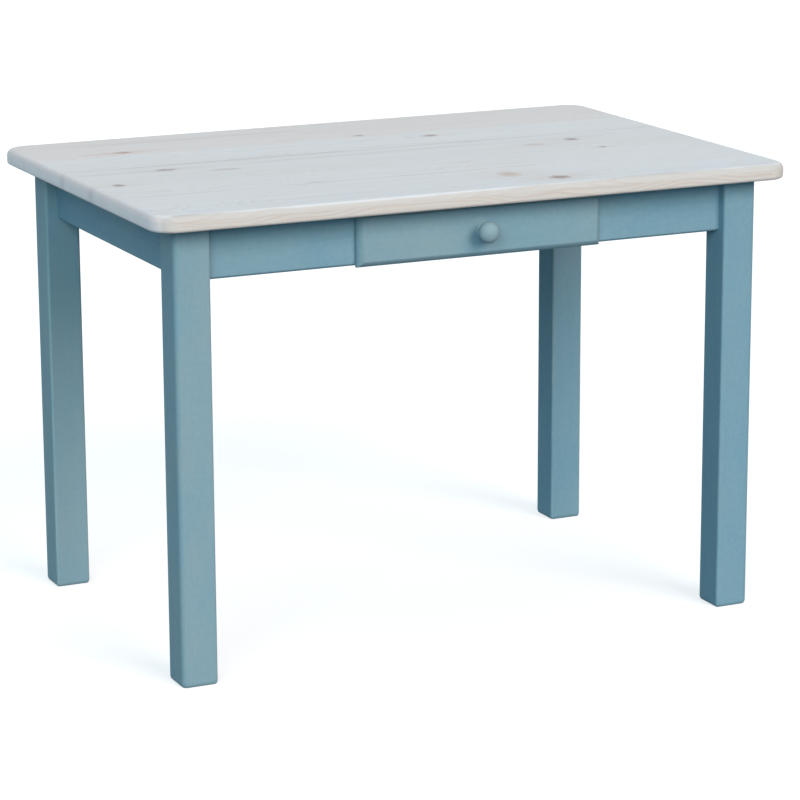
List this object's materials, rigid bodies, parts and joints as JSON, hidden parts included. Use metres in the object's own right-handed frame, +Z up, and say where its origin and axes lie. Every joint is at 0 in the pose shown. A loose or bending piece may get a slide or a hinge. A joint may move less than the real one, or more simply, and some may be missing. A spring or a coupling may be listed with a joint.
{
  "type": "kitchen table with drawer",
  "caption": "Rectangular pine kitchen table with a whitewashed rounded top, square painted legs, aprons and a shallow knobbed drawer in the front apron.",
  "frame": {"origin": "centre of the table's footprint on the floor, under the middle of the top", "axes": "+X along the length of the top to the right as seen from the drawer side, +Y from the front to the back, +Z up"},
  "size_m": [1.11, 0.745, 0.76],
  "materials": {
    "whitewashed_pine": "matt whitewash over pine grain",
    "blue_grey_paint": "satin blue-grey paint on wood",
    "raw_pine": "planed, uncoated pine",
    "plywood": "sanded thin plywood",
    "beech_dowel": "fluted beech",
    "zinc_steel": "zinc plated"
  },
  "bodies": {
    "table": {"apron_back": "blue_grey_paint", "apron_front_left": "blue_grey_paint", "apron_front_right": "blue_grey_paint", "apron_left": "blue_grey_paint", "apron_right": "blue_grey_paint", "bolt_nuts": "zinc_steel", "bolt_washers": "zinc_steel", "cleat_back": "raw_pine", "cleat_left": "raw_pine", "cleat_right": "raw_pine", "cleat_screws": "zinc_steel", "corner_block_back_left": "raw_pine", "corner_block_back_right": "raw_pine", "corner_block_front_left": "raw_pine", "corner_block_front_right": "raw_pine", "corner_block_screws": "zinc_steel", "drawer_guide_left": "raw_pine", "drawer_guide_right": "raw_pine", "drawer_kicker_left": "raw_pine", "drawer_kicker_right": "raw_pine", "drawer_rail_lower": "raw_pine", "drawer_rail_upper": "raw_pine", "drawer_runner_left": "raw_pine", "drawer_runner_right": "raw_pine", "frame_dowels": "beech_dowel", "hanger_bolts": "zinc_steel", "leg_back_left": "blue_grey_paint", "leg_back_right": "blue_grey_paint", "leg_front_left": "blue_grey_paint", "leg_front_right": "blue_grey_paint", "tabletop_board_1": "whitewashed_pine", "tabletop_board_2": "whitewashed_pine", "tabletop_board_3": "whitewashed_pine", "tabletop_board_4": "whitewashed_pine", "tabletop_board_5": "whitewashed_pine", "tabletop_board_6": "whitewashed_pine", "tabletop_board_7": "whitewashed_pine", "tabletop_board_8": "whitewashed_pine", "tabletop_screws": "zinc_steel"},
    "drawer": {"bottom_pins": "zinc_steel", "drawer_back": "raw_pine", "drawer_bottom": "plywood", "drawer_dowels": "beech_dowel", "drawer_front": "blue_grey_paint", "drawer_knob": "blue_grey_paint", "drawer_side_left": "raw_pine", "drawer_side_right": "raw_pine", "drawer_stop": "raw_pine", "knob_screw": "zinc_steel", "stop_screws": "zinc_steel"}
  },
  "joints": [
    {"name": "drawer_slide", "type": "slide", "parent": "table", "child": "drawer", "axis": [0, -1, 0], "range_m": [0, 0.318]}
  ]
}
